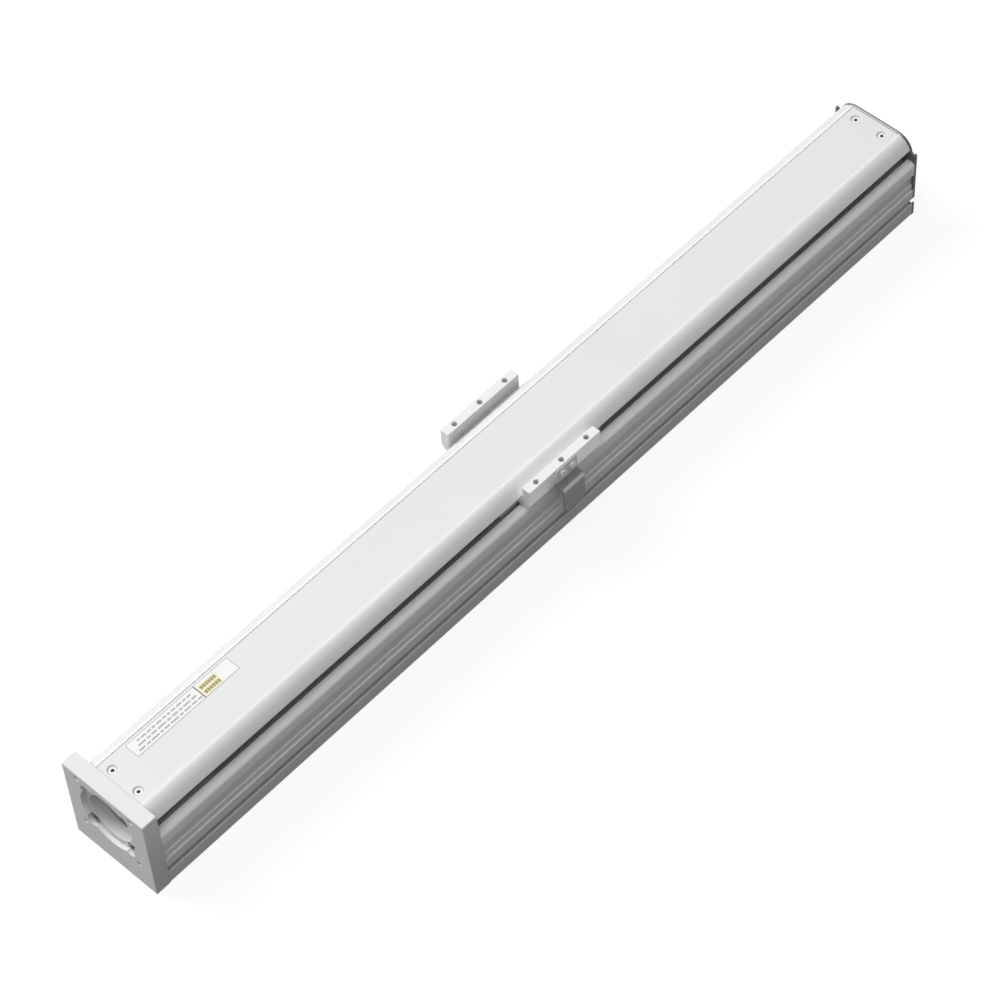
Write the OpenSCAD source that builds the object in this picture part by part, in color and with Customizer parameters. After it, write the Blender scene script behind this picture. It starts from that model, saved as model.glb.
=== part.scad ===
// Ball screw linear module, enclosed type with side slits.
//
// An aluminium base extrusion carries one linear guide and, above it, a ball screw that
// turns in two bearing housings. A domed cover closes the top. The carriage runs inside
// and reaches out through the slits beside the cover with two tapped ears.
//
// Millimetres. X runs from the motor flange to the far end, Y goes across, Z is up.
// The origin is the middle of the base extrusion's underside.

/* [Base extrusion] */
// Length of the base and of the cover
base_l = 754; // [680:1:1200]
// Width over the side faces
base_w = 74; // [73.5:0.1:78]
// Height of the lips beside the slits
lip_h = 55; // [54:0.1:57]
// Radius of each lip's rounded outer edge
lip_r = 3.5; // [3:0.1:4.2]
// Fall of each lip's top towards the inside
lip_fall = 0.4; // [0.2:0.1:1]
// Thickness of the side walls
wall_t = 8.3; // [8:0.1:8.8]
// Thickness of the walls in the lips, beside the mouth of the channel
lip_t = 6.9; // [6:0.1:7.5]
// Thickness of the floor
floor_t = 8; // [7.5:0.1:9]
// Height at which the bead under the lip starts to turn in
bead_z = 43.5; // [43:0.1:46]
// Radius of the bead's lower edge
bead_r = 3; // [2.4:0.1:4]
// Depth of the groove under the bead
groove_d = 2; // [1.5:0.1:2.2]
// Height of the groove's lower edge
groove_z = 31.6; // [30:0.1:34]
// Depth of the flat band under the groove
band_d = 1.3; // [0.5:0.1:1.4]
// Height of the band's lower edge
band_z = 26; // [24:0.1:28]
// Width of the hollow chamber in each side wall
chamber_w = 2.8; // [2:0.1:3.4]
// Height of the top of the ledge inside each wall
ledge_z = 50.5; // [49.5:0.1:51.5]
// Reach of the ledge into the channel
ledge_w = 3.9; // [2:0.1:3.9]
// Thickness of the ledge
ledge_t = 2; // [1.5:0.1:2.5]
// Chamfer along the lower edges
foot_chamfer = 0.6; // [0.2:0.1:1]

/* [T-slots] */
// Height of the slot's middle
slot_z = 14.5; // [14:0.1:16]
// Width of the slot's mouth
slot_w = 6; // [5:0.1:7]
// Thickness of the lips beside the mouth
slot_lip = 1.2; // [1:0.1:1.8]
// Inside width of the slot
slot_in_w = 10.5; // [9:0.1:11.5]
// Inside depth of the slot, behind its lips
slot_in_d = 4.5; // [4:0.1:5]

/* [Cover] */
// Height of the flat channel on the cover's top
cover_h = 74; // [73:0.1:76]
// Width over the cover's shoulders
cover_w = 65.2; // [64:0.1:67]
// Radius of the shoulders
shoulder_r = 14; // [12:0.1:14.5]
// Thickness of the cover's wall
cover_t = 2.8; // [2.4:0.1:3.2]
// Depth of the channel below the crown of the shoulders
channel_d = 0.8; // [0.4:0.1:1.1]
// Width of the channel
channel_w = 42.4; // [38:0.1:44]
// Height of the slits between the lips and the cover
slit_h = 10; // [9:0.1:11]
// Distance of the cover's screws from its ends
cover_screw_x = 8; // [6:0.1:9]
// Distance between the cover's screws, across
cover_screw_pitch = 24; // [20:0.1:24.6]

/* [Motor flange] */
// Width of the flange
flange_w = 75; // [74:0.1:80]
// Height of the flange
flange_h = 79.5; // [78:0.1:86]
// Thickness of the flange
flange_t = 12; // [10:0.1:16]
// Chamfer on the flange's edges
flange_chamfer = 0.6; // [0.2:0.1:1]
// Height of the screw axis and of the motor's centre
axis_h = 49; // [48.5:0.1:49.5]
// Diameter of the motor's pilot bore
pilot_d = 50; // [48:0.1:51]
// Depth of the pilot bore
pilot_depth = 3; // [2:0.1:4]
// Diameter of the bore and of the chamber for the motor coupling
coupling_bore_d = 38.5; // [38:0.1:38.8]
// Side of the square of tapped motor holes
motor_pitch = 49.5; // [48:0.1:52]
// Tapping diameter of the motor holes
motor_hole_d = 4.2; // [3.3:0.1:5]
// Radius of the circle of flange screws
flange_screw_circle_r = 24.4; // [24.3:0.1:25]
// Diameter of the pockets for the flange screws
pocket_d = 9.4; // [9:0.1:9.6]
// Depth of the pockets, from the front face
pocket_depth = 8.2; // [8:0.1:9]

/* [End plate] */
// Thickness of the end plate
plate_t = 2.2; // [2:0.1:5]
// Overhang of the end plate past the cover and the base
plate_lap = 0.1; // [0.1:0.1:1]
// Height of the plate's corners above the lips
plate_corner_h = 7.6; // [6:0.1:8]
// Diameter of the half-round notch in the top of each corner
notch_d = 2.4; // [1:0.1:3]

/* [Ball screw] */
// Diameter of the threaded stretch
screw_d = 16; // [14:0.1:16.4]
// Diameter of the fixed-side bearing seat
seat_d = 12; // [11:0.1:12.5]
// Diameter of the drive journal and of the far journal
journal_d = 10; // [8:0.1:10.4]
// Length of the drive journal past the lock nut
journal_l = 14; // [10:0.1:15]
// Radial gap between the screw and the nut's lands
nut_gap = 0.3; // [0.3:0.05:0.5]
// Diameter of the nut's body
nut_d = 28; // [27:0.1:28.4]
// Length of the nut's body behind its flange
nut_body_l = 45; // [36:0.1:60]
// Diameter of the nut's flange
nut_flange_d = 47; // [46.6:0.1:47.6]
// Thickness of the nut's flange
nut_flange_t = 10; // [8:0.1:11]
// Width across the two flats of the nut's flange
nut_flange_flats = 40; // [38:0.1:41]
// Diameter of the nut's screw circle
nut_screw_circle_d = 38; // [37.6:0.1:38.6]

/* [Bearings and housings] */
// Length of the fixed-side housing
fixed_housing_l = 56; // [54:0.1:70]
// Depth of the coupling chamber
coupling_depth = 24; // [23.5:0.1:26]
// Outer diameter of the fixed-side bearings
fixed_bearing_d = 28; // [27:0.1:28.4]
// Width of each fixed-side bearing
fixed_bearing_w = 8; // [7:0.1:8.5]
// Diameter of the bore behind the fixed-side bearings
fixed_back_bore_d = 22; // [20:0.1:23]
// Length of the collar between the bearings and the screw's shoulder
collar_l = 6; // [4:0.1:10]
// Thickness of the bearing retainer
retainer_t = 4; // [3:0.1:5]
// Length of the lock nut
lock_nut_l = 8; // [6:0.1:9]
// Length of the far-side housing
far_housing_l = 18; // [17:0.1:24]
// Outer diameter of the far-side bearing
far_bearing_d = 26; // [24:0.1:28]
// Width of the far-side bearing
far_bearing_w = 8; // [7:0.1:9]
// Length of each rubber stop
stop_l = 8; // [6:0.1:12]
// Outer diameter of each rubber stop
stop_d = 28; // [25:0.1:30]

/* [Linear guide] */
// Width of the rail
rail_w = 15; // [14:0.1:15.4]
// Height of the rail
rail_h = 12.5; // [12.3:0.1:12.7]
// Distance between the rail's screws
rail_pitch = 60; // [40:1:80]
// Height of the guide block's top above the floor
block_h = 24; // [23.8:0.1:24.4]
// Gap between the block's underside and the floor
block_foot_gap = 4.5; // [4:0.1:4.8]
// Width of the block's body
block_w = 34; // [32:0.1:36]
// Width of the block's flanges
block_flange_w = 47; // [46.4:0.1:48]
// Thickness of the block's flanges
block_flange_t = 5; // [4:0.1:7]
// Length of the block's steel body
block_l = 58; // [46:0.1:70]
// Length of each end cap
end_cap_l = 9; // [6:0.1:10]
// Thickness of each wiper
wiper_t = 1.5; // [1:0.1:2]
// Diameter of the balls in the guide
guide_ball_d = 2.8; // [2.4:0.1:3]
// Balls in each row that carries load
guide_balls_per_row = 14; // [6:1:15]

/* [Carriage] */
// Length of the carriage's body
carriage_l = 100; // [94:0.1:120]
// Length of the ears
ear_l = 70; // [64:0.1:90]
// Thickness of the ears
ear_t = 7; // [6.4:0.1:10]
// Height of the ears' tops above the cover's channel
ear_rise = 3; // [2:0.1:8]
// Radius of the ears' lower outer edge
ear_r = 6; // [3:0.1:6.8]
// Distance between the ears' tapped holes, along
ear_hole_pitch = 25; // [20:0.1:28]
// Tapping diameter of the ears' holes
ear_hole_d = 4.2; // [3.3:0.1:4.4]
// Depth of the ears' holes
ear_hole_depth = 10; // [8:0.1:12]
// Distance between the two small holes in each ear's side
flag_hole_pitch = 9.4; // [8.6:0.1:14]
// Depth of the small side holes below the ears' tops
flag_hole_drop = 5.2; // [4:0.1:7]

/* [Sensor flag] */
// Width of the flag
flag_w = 20; // [17:0.1:30]
// Thickness of the flag's sheet
flag_t = 1.5; // [1:0.1:2]
// Inside radius of the flag's bend under the ear
flag_bend_r = 0.8; // [0.5:0.1:1.5]
// Outside radius of the bend from the step to the blade
flag_out_r = 3; // [2.4:0.1:3.5]
// Reach of the flag's blade beyond the ear
flag_reach = 8; // [7.4:0.1:12]
// Height of the flag's step above the lip
flag_step_h = 7.8; // [6:0.1:9]
// Length of the blade below the step
flag_blade_l = 25.3; // [18:0.1:28]
// Distance of the flag's top below the ear's top
flag_top_drop = 0.4; // [0.2:0.1:1]
// Radius of the flag's corners
flag_corner_r = 2; // [1:0.1:3]

/* [Fastener holes in the base] */
// Distance between the tapped holes in the underside, along
foot_hole_pitch_x = 100; // [80:1:160]
// Distance between the two rows of tapped holes
foot_hole_pitch_y = 32; // [28:0.1:34]
// Tapping diameter of the holes in the underside
foot_hole_d = 5; // [4:0.1:5.4]

/* [Hidden] */
$fn = 64;
// Overshoot of every cutting body past the face that it leaves
over = 1;

// Gaps that moving pieces keep to fixed ones
carriage_side_gap = 1.7;
carriage_top_gap = 5;
arm_gap_low = 2.8;
arm_gap_high = 2;
ear_gap = 1.4;
rail_gap = 0.4;
rail_side_gap = 0.35;
groove_gap = 0.3;
ball_pocket_gap = 0.05;
screw_gap = 1;
far_bore_gap = 2;
housing_side_gap = 0.6;
ledge_gap = 1.3;

// Metric fasteners: nominal thread diameter, head and hexagon socket
m3_d = 3;
m3_head_d = 5.5;
m3_head_h = 2.2;
flag_head_d = 5;
flag_head_h = 1.6;
m3_hex = 2;
m3_clear_d = 3.4;
m4_d = 4;
m4_head_d = 7;
m4_head_h = 4;
m4_hex = 3;
m4_clear_d = 4.5;
m4_cbore_d = 7.6;
m5_d = 5;
m5_head_d = 8.5;
m5_head_h = 5;
m5_hex = 4;
m5_clear_d = 5.5;
csk_head_d = 7.9;
csk_hex = 2.5;
csk_hex_depth = 1.4;
csk_sink = 1;

// Stations along X
x_front = -base_l / 2;
x_end = base_l / 2;
x_flange = x_front - flange_t;
x_fixed_in = x_front + fixed_housing_l;
x_bearing0 = x_front + coupling_depth;
x_bearing1 = x_bearing0 + 2 * fixed_bearing_w;
x_shoulder = x_bearing1 + collar_l;
x_lock = x_bearing0 - lock_nut_l;
x_drive_end = x_lock - journal_l;
x_far_in = x_end - far_housing_l;
far_bearing_inset = 4;
x_far_bearing0 = x_far_in + far_bearing_inset;
x_far_bearing1 = x_far_bearing0 + far_bearing_w;
circlip_t = 1.1;
circlip_groove_d = 0.4;
circlip_w = 2;
journal_tail = 1.9;
x_far_tail = x_far_bearing1 + circlip_t + journal_tail;
rail_end_gap = 2;
x_rail0 = x_fixed_in + rail_end_gap;
x_rail1 = x_far_in - rail_end_gap;
rail_l = x_rail1 - x_rail0;
rail_end_margin = 15;
rail_screws = floor((rail_l - 2 * rail_end_margin) / rail_pitch) + 1;

// Heights and half widths
cavity_y = base_w / 2 - wall_t;
ledge_y = cavity_y - ledge_w;
cover_edge_z = lip_h + slit_h;
shoulder_y = cover_w / 2 - shoulder_r;
shoulder_z = cover_h + channel_d - shoulder_r;
cover_in_z = shoulder_z + shoulder_r - cover_t;
housing_y = ledge_y - housing_side_gap;
housing_top_gap = 1.1;
housing_top_y = shoulder_y - housing_top_gap;
pocket_yz = flange_screw_circle_r / sqrt(2);
carriage_y = cavity_y - carriage_side_gap;
carriage_z0 = floor_t + block_h;
carriage_z1 = cover_in_z - carriage_top_gap;
arm_z0 = lip_h + arm_gap_low;
arm_z1 = cover_edge_z - arm_gap_high;
ear_y0 = cover_w / 2 + ear_gap;
ear_y1 = ear_y0 + ear_t;
ear_hole_y = (ear_y0 + ear_y1) / 2;
ear_z1 = cover_h + ear_rise;
flag_hole_z = ear_z1 - flag_hole_drop;
ear_fillet = 1;

// Chamber and screw ports of the extrusion
chamber_z0 = 24.5;
chamber_z1 = 43;
chamber_inset = 5.4;
chamber_y = base_w / 2 - chamber_inset;
port_inset = 5;
port_drop = 6.3;
port_y = base_w / 2 - port_inset;
port_z = lip_h - port_drop;
floor_port_inset = 3.7;
floor_port_y = cavity_y - floor_port_inset;

// Fastener places
foot_hole_end = 70;
housing_screw_y = 17;
housing_screw_inset = 10;
housing_screw_depth = 9;
housing_cbore_depth = 4.4;
cover_screw_depth = 6;
plate_screw_depth = 9;
flange_screw_depth = 12;
rail_cbore_d = 7.5;
rail_cbore_depth = 5.3;
rail_screw_depth = 6;
block_screw_y = 19;
block_screw_x = 15;
block_screw_seat = 8;
block_screw_depth = 4;
nut_screw_depth = 12;
nut_screw_angles = [0, 45, 135, 180, 225, 315];
flag_screw_depth = 5;
flag_hole_depth = 5.6;
retainer_screw_r = 16;
retainer_screw_depth = 5;
retainer_gap = 0.4;
retainer_bore_gap = 1.5;

// Bearings: rings, races and balls
ring_ratio = 0.32;
fixed_ball_d = 4;
far_ball_d = 4;
bearing_ball_count = 10;
race_gap = 0.3;
cage_t = 1;
cage_w = 5;
cage_clear = 0.2;

// Guide: ball rows, return channels and end details
ball_row_y = rail_w / 2 + 1;
ball_row_z = [7.1, 10.7];
return_y = 12.5;
return_d = 3.2;
rail_chamfer = 0.6;
nipple_d = 4;
nipple_l = 5;
nipple_z = 20;
nipple_tip_d = 2.4;
nipple_base_l = 2;
carriage_bore_d = 20;
collar_d = 18;
lock_nut_d = 20;
lock_slot_w = 3;
lock_slot_d = 1.5;
nut_wiper_t = 3;
nut_wiper_wall = 3;

// ---- Helpers -------------------------------------------------------------------------

// Extrudes an outline that is drawn across (Y) and up (Z) from x0 to x1
module along_x(x0, x1) {
    translate([x0, 0, 0]) rotate([90, 0, 90]) linear_extrude(x1 - x0) children();
}

// Draws an outline and its mirror image on the other side
module both_sides_2d() {
    children();
    mirror([1, 0]) children();
}

// Draws a solid and its mirror image on the other side
module both_sides() {
    children();
    mirror([0, 1, 0]) children();
}

// Puts what is drawn about the X axis on the screw's axis
module on_axis() {
    translate([0, 0, axis_h]) children();
}

// Round bar along X
module x_rod(x0, x1, d) {
    translate([x0, 0, 0]) rotate([0, 90, 0]) cylinder(h = x1 - x0, d = d);
}

// Round tube along X
module x_tube(x0, x1, d_in, d_out) {
    difference() {
        x_rod(x0, x1, d_out);
        x_rod(x0 - over, x1 + over, d_in);
    }
}

// Repeats a child at evenly spaced places along X, about a middle
module row_x(count, pitch, middle = 0) {
    for (i = [0 : count - 1]) translate([middle + (i - (count - 1) / 2) * pitch, 0, 0]) children();
}

// Hexagon socket that opens upwards at z = 0
module hex_socket(width, depth) {
    translate([0, 0, -depth]) cylinder(h = depth + over, d = width * 2 / sqrt(3), $fn = 6);
}

// Socket head screw: the head stands on z = 0 and the shank hangs below it
module cap_screw(d, l, head_d, head_h, hex) {
    difference() {
        union() {
            cylinder(h = head_h, d = head_d);
            translate([0, 0, -l]) cylinder(h = l, d = d);
        }
        translate([0, 0, head_h]) hex_socket(hex, head_h / 2);
    }
}

// Countersunk screw: the head's face lies at z = 0
module csk_screw(l) {
    difference() {
        union() {
            csk_cone();
            translate([0, 0, -l]) cylinder(h = l, d = m4_d);
        }
        translate([0, 0, -csk_sink]) {
            cylinder(h = csk_sink + over, d = csk_head_d + over);
            hex_socket(csk_hex, csk_hex_depth);
        }
    }
}

// Cone of a countersunk head, and of the hole that it fills
module csk_cone() {
    cone_h = (csk_head_d - m4_d) / 2;
    translate([0, 0, -cone_h]) cylinder(h = cone_h, d1 = m4_d, d2 = csk_head_d);
}

// Block with chamfered edges, from corner to corner
module chamfered_block(low, high, c) {
    size = high - low;
    translate(low) intersection() {
        linear_extrude(size.z) chamfered_rect(size.x, size.y, c);
        translate([0, size.y, 0]) rotate([90, 0, 0]) linear_extrude(size.y) {
            chamfered_rect(size.x, size.z, c);
        }
        rotate([90, 0, 90]) linear_extrude(size.x) chamfered_rect(size.y, size.z, c);
    }
}

module chamfered_rect(w, h, c) {
    polygon([[c, 0], [w - c, 0], [w, c], [w, h - c], [w - c, h], [c, h], [0, h - c], [0, c]]);
}

// ---- Base extrusion ------------------------------------------------------------------

module t_slot_profile() {
    translate([base_w / 2 - slot_lip - slot_in_d, slot_z - slot_in_w / 2]) square([slot_in_d, slot_in_w]);
    translate([base_w / 2 - slot_lip - over, slot_z - slot_w / 2]) square([slot_lip + 2 * over, slot_w]);
}

module side_groove_profile() {
    difference() {
        translate([base_w / 2 - groove_d, groove_z]) square([groove_d + over, bead_z - groove_z]);
        translate([base_w / 2 - bead_r, bead_z]) circle(bead_r);
    }
}

module wall_chamber_profile() {
    r = chamber_w / 2;
    translate([chamber_y - r, chamber_z0 + r]) square([chamber_w, chamber_z1 - chamber_z0 - chamber_w]);
    for (z = [chamber_z0 + r, chamber_z1 - r]) translate([chamber_y, z]) circle(r);
}

module base_half_profile() {
    lip_y = base_w / 2 - lip_r;
    lip_z = lip_h - lip_r;
    difference() {
        union() {
            square([base_w / 2, floor_t]);
            translate([cavity_y, 0]) square([wall_t, lip_z]);
            translate([ledge_y, ledge_z - ledge_t]) square([ledge_w + over, ledge_t]);
            translate([lip_y, lip_z]) circle(lip_r);
            polygon([
                [base_w / 2 - lip_t, lip_z - over],
                [base_w / 2 - lip_t, lip_h - lip_fall],
                [lip_y, lip_h],
                [lip_y, lip_z - over]
            ]);
        }
        t_slot_profile();
        side_groove_profile();
        translate([base_w / 2 - band_d, band_z]) square([band_d + over, groove_z - band_z + over]);
        wall_chamber_profile();
        translate([port_y, port_z]) circle(d = m4_d);
        translate([floor_port_y, floor_t / 2]) circle(d = m4_d);
        polygon([
            [base_w / 2 - foot_chamfer, -over],
            [base_w / 2 + over, -over],
            [base_w / 2 + over, foot_chamfer],
            [base_w / 2, foot_chamfer],
            [base_w / 2 - foot_chamfer, 0]
        ]);
    }
}

module foot_holes() {
    count = floor((base_l / 2 - foot_hole_end) / foot_hole_pitch_x) * 2 + 1;
    row_x(count, foot_hole_pitch_x) both_sides() {
        translate([0, foot_hole_pitch_y / 2, -over]) cylinder(h = floor_t + 2 * over, d = foot_hole_d);
    }
}

// Draws a child at every screw that holds the two housings down
module at_housing_screws() {
    places = [x_front + housing_screw_inset, x_fixed_in - housing_screw_inset, x_end - far_housing_l / 2];
    for (x = places) both_sides() translate([x, housing_screw_y, 0]) children();
}

module at_rail_screws() {
    row_x(rail_screws, rail_pitch, (x_rail0 + x_rail1) / 2) children();
}

module base_extrusion() {
    color("lightgray") difference() {
        along_x(x_front, x_end) both_sides_2d() base_half_profile();
        foot_holes();
        at_rail_screws() {
            translate([0, 0, floor_t - rail_screw_depth]) cylinder(h = rail_screw_depth + over, d = m4_d);
        }
        at_housing_screws() {
            translate([0, 0, -over]) cylinder(h = housing_cbore_depth + over, d = m4_cbore_d);
            cylinder(h = floor_t + over, d = m4_clear_d);
        }
    }
}

// ---- Cover ---------------------------------------------------------------------------

// Outline of the cover down to the middle of its shoulders, grown or shrunk
module cover_outline(grow) {
    for (side = [-1, 1]) translate([side * shoulder_y, shoulder_z]) circle(shoulder_r + grow);
    translate([-shoulder_y, shoulder_z - shoulder_r]) square([2 * shoulder_y, 2 * shoulder_r + grow]);
}

module cover_profile() {
    difference() {
        cover_outline(0);
        cover_outline(-cover_t);
        translate([-channel_w / 2, cover_h]) square([channel_w, channel_d + over]);
        translate([-cover_w, 0]) square([2 * cover_w, cover_edge_z]);
    }
}

module at_cover_screws() {
    for (x = [x_front + cover_screw_x, x_end - cover_screw_x]) both_sides() {
        translate([x, cover_screw_pitch / 2, cover_h]) children();
    }
}

module top_cover() {
    color("gainsboro") difference() {
        along_x(x_front, x_end) cover_profile();
        at_cover_screws() {
            csk_cone();
            translate([0, 0, -cover_t - over]) cylinder(h = cover_t + 2 * over, d = m4_d);
        }
    }
}

module cover_screws() {
    color("silver") at_cover_screws() csk_screw(cover_h - cover_in_z + cover_screw_depth);
}

// ---- Motor flange --------------------------------------------------------------------

// Draws a child at each flange screw, with its Z axis along the screw's axis
module at_flange_screws() {
    for (y = [-pocket_yz, pocket_yz]) for (z = [-pocket_yz, pocket_yz]) {
        translate([x_flange + pocket_depth, y, axis_h + z]) rotate([0, -90, 0]) children();
    }
}

module at_motor_holes() {
    for (y = [-motor_pitch / 2, motor_pitch / 2]) for (z = [-motor_pitch / 2, motor_pitch / 2]) {
        translate([0, y, axis_h + z]) children();
    }
}

module motor_flange() {
    low = [x_flange, -flange_w / 2, 0];
    high = [x_front, flange_w / 2, flange_h];
    color("gainsboro") difference() {
        difference() {
            chamfered_block(low, [x_front + flange_chamfer, high.y, high.z], flange_chamfer);
            translate([x_front, low.y - over, low.z - over]) {
                cube([flange_chamfer + over, high.y - low.y + 2 * over, high.z - low.z + 2 * over]);
            }
        }
        on_axis() x_rod(x_flange - over, x_flange + pilot_depth, pilot_d);
        on_axis() x_rod(x_flange - over, x_front + over, coupling_bore_d);
        at_motor_holes() x_rod(x_flange - over, x_front + over, motor_hole_d);
        at_flange_screws() {
            cylinder(h = pocket_depth + over, d = pocket_d);
            translate([0, 0, -flange_t]) cylinder(h = flange_t + over, d = m5_clear_d);
        }
    }
}

module flange_screws() {
    shank = flange_t - pocket_depth + flange_screw_depth;
    color("dimgray") at_flange_screws() cap_screw(m5_d, shank, m5_head_d, m5_head_h, m5_hex);
}

// ---- End plate -----------------------------------------------------------------------

module at_plate_screws() {
    for (place = [[port_y, port_z], [floor_port_y, floor_t / 2]]) both_sides() {
        translate([x_end + plate_t, place.x, place.y]) rotate([0, 90, 0]) children();
    }
}

module end_plate_profile() {
    half = base_w / 2 + plate_lap;
    corner_z = lip_h + plate_corner_h;
    notch_y = (cover_w + base_w) / 4 - notch_d / 4;
    difference() {
        union() {
            cover_outline(plate_lap);
            translate([-half, 0]) square([2 * half, corner_z]);
        }
        both_sides_2d() {
            t_slot_profile();
            translate([notch_y, corner_z]) circle(d = notch_d);
        }
    }
}

module end_plate() {
    color("dimgray") difference() {
        along_x(x_end, x_end + plate_t) end_plate_profile();
        at_plate_screws() {
            csk_cone();
            translate([0, 0, -plate_t - over]) cylinder(h = plate_t + 2 * over, d = m4_d);
        }
    }
}

module end_plate_screws() {
    color("silver") at_plate_screws() csk_screw(plate_t + plate_screw_depth);
}

// ---- Housings ------------------------------------------------------------------------

module housing_profile() {
    side_z = cover_in_z - (housing_y - housing_top_y);
    polygon([
        [-housing_y, floor_t],
        [housing_y, floor_t],
        [housing_y, side_z],
        [housing_top_y, cover_in_z],
        [-housing_top_y, cover_in_z],
        [-housing_y, side_z]
    ]);
}

// Tapped holes for the cover's and the base's screws
module housing_tapped_holes() {
    at_cover_screws() translate([0, 0, cover_in_z - cover_h - cover_screw_depth]) {
        cylinder(h = cover_screw_depth + over, d = m4_d);
    }
    at_housing_screws() translate([0, 0, floor_t - over]) {
        cylinder(h = housing_screw_depth + over, d = m4_d);
    }
}

module at_retainer_screws() {
    for (a = [0 : 90 : 270]) on_axis() rotate([a, 0, 0]) {
        translate([x_bearing0 - retainer_t, 0, retainer_screw_r]) rotate([0, -90, 0]) children();
    }
}

module fixed_housing() {
    color("silver") difference() {
        along_x(x_front, x_fixed_in) housing_profile();
        on_axis() x_rod(x_front - over, x_bearing0, coupling_bore_d);
        on_axis() x_rod(x_front, x_bearing1, fixed_bearing_d);
        on_axis() x_rod(x_front, x_fixed_in + over, fixed_back_bore_d);
        at_flange_screws() {
            depth = flange_t - pocket_depth + flange_screw_depth;
            translate([0, 0, -depth]) cylinder(h = depth, d = m5_d);
        }
        at_retainer_screws() {
            depth = retainer_t + retainer_screw_depth;
            translate([0, 0, -depth]) cylinder(h = depth, d = m3_d);
        }
        housing_tapped_holes();
    }
}

module far_housing() {
    color("silver") difference() {
        along_x(x_far_in, x_end) housing_profile();
        on_axis() x_rod(x_far_bearing0, x_end + over, far_bearing_d);
        on_axis() x_rod(x_far_in - over, x_end, screw_d + 2 * far_bore_gap);
        housing_tapped_holes();
    }
}

module housing_screws() {
    shank = floor_t - housing_cbore_depth + housing_screw_depth;
    color("dimgray") at_housing_screws() translate([0, 0, housing_cbore_depth]) mirror([0, 0, 1]) {
        cap_screw(m4_d, shank, m4_head_d, m4_head_h, m4_hex);
    }
}

// ---- Bearings ------------------------------------------------------------------------

// One of a bearing's two rings: the race is a groove about the ball circle
module bearing_ring(x0, w, d_in, d_out, ball_circle_d, race_d) {
    translate([x0, 0, 0]) rotate([0, 90, 0]) rotate_extrude() difference() {
        translate([d_in / 2, 0]) square([(d_out - d_in) / 2, w]);
        translate([ball_circle_d / 2, w / 2]) circle(d = race_d);
    }
}

module bearing_outer(x0, w, bore_d, out_d, ball_d) {
    middle_d = (bore_d + out_d) / 2;
    ring_in_d = out_d - ring_ratio * (out_d - bore_d);
    bearing_ring(x0, w, ring_in_d, out_d, middle_d, ball_d + 2 * race_gap);
}

module bearing_inner(x0, w, bore_d, out_d, ball_d) {
    middle_d = (bore_d + out_d) / 2;
    ring_out_d = bore_d + ring_ratio * (out_d - bore_d);
    bearing_ring(x0, w, bore_d, ring_out_d, middle_d, ball_d);
}

module at_bearing_balls(x0, w, middle_d) {
    for (i = [0 : bearing_ball_count - 1]) rotate([i * 360 / bearing_ball_count, 0, 0]) {
        translate([x0 + w / 2, 0, middle_d / 2]) children();
    }
}

module bearing_cage(x0, w, middle_d, ball_d) {
    side = (w - cage_w) / 2;
    difference() {
        x_tube(x0 + side, x0 + w - side, middle_d - cage_t, middle_d + cage_t);
        at_bearing_balls(x0, w, middle_d) translate([0, 0, -ball_d / 2]) {
            cylinder(h = ball_d, d = ball_d + cage_clear);
        }
    }
}

// Draws a child once for each fixed-side bearing
module at_fixed_bearings() {
    for (i = [0, 1]) translate([x_bearing0 + i * fixed_bearing_w, 0, axis_h]) children();
}

fixed_middle_d = (seat_d + fixed_bearing_d) / 2;
far_middle_d = (journal_d + far_bearing_d) / 2;

module bearing_outer_rings() {
    color("darkgray") at_fixed_bearings() {
        bearing_outer(0, fixed_bearing_w, seat_d, fixed_bearing_d, fixed_ball_d);
    }
}

module bearing_inner_rings() {
    color("darkgray") at_fixed_bearings() {
        bearing_inner(0, fixed_bearing_w, seat_d, fixed_bearing_d, fixed_ball_d);
    }
}

module bearing_balls() {
    color("white") at_fixed_bearings() {
        at_bearing_balls(0, fixed_bearing_w, fixed_middle_d) sphere(d = fixed_ball_d);
    }
}

module bearing_cages() {
    color("goldenrod") at_fixed_bearings() bearing_cage(0, fixed_bearing_w, fixed_middle_d, fixed_ball_d);
}

module far_bearing_outer_ring() {
    color("darkgray") on_axis() {
        bearing_outer(x_far_bearing0, far_bearing_w, journal_d, far_bearing_d, far_ball_d);
    }
}

module far_bearing_inner_ring() {
    color("darkgray") on_axis() {
        bearing_inner(x_far_bearing0, far_bearing_w, journal_d, far_bearing_d, far_ball_d);
    }
}

module far_bearing_balls() {
    color("white") on_axis() {
        at_bearing_balls(x_far_bearing0, far_bearing_w, far_middle_d) sphere(d = far_ball_d);
    }
}

module far_bearing_cage() {
    color("goldenrod") on_axis() bearing_cage(x_far_bearing0, far_bearing_w, far_middle_d, far_ball_d);
}

// Plate that clamps the outer rings of the fixed-side bearings
module bearing_retainer() {
    color("dimgray") difference() {
        on_axis() x_tube(
            x_bearing0 - retainer_t,
            x_bearing0,
            lock_nut_d + 2 * retainer_bore_gap,
            coupling_bore_d - 2 * retainer_gap
        );
        at_retainer_screws() translate([0, 0, -retainer_t - over]) {
            cylinder(h = retainer_t + 2 * over, d = m3_clear_d);
        }
    }
}

module retainer_screws() {
    color("dimgray") at_retainer_screws() {
        cap_screw(m3_d, retainer_t + retainer_screw_depth, m3_head_d, m3_head_h, m3_hex);
    }
}

module bearing_collar() {
    color("darkgray") on_axis() x_tube(x_bearing1, x_shoulder, seat_d, collar_d);
}

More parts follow.
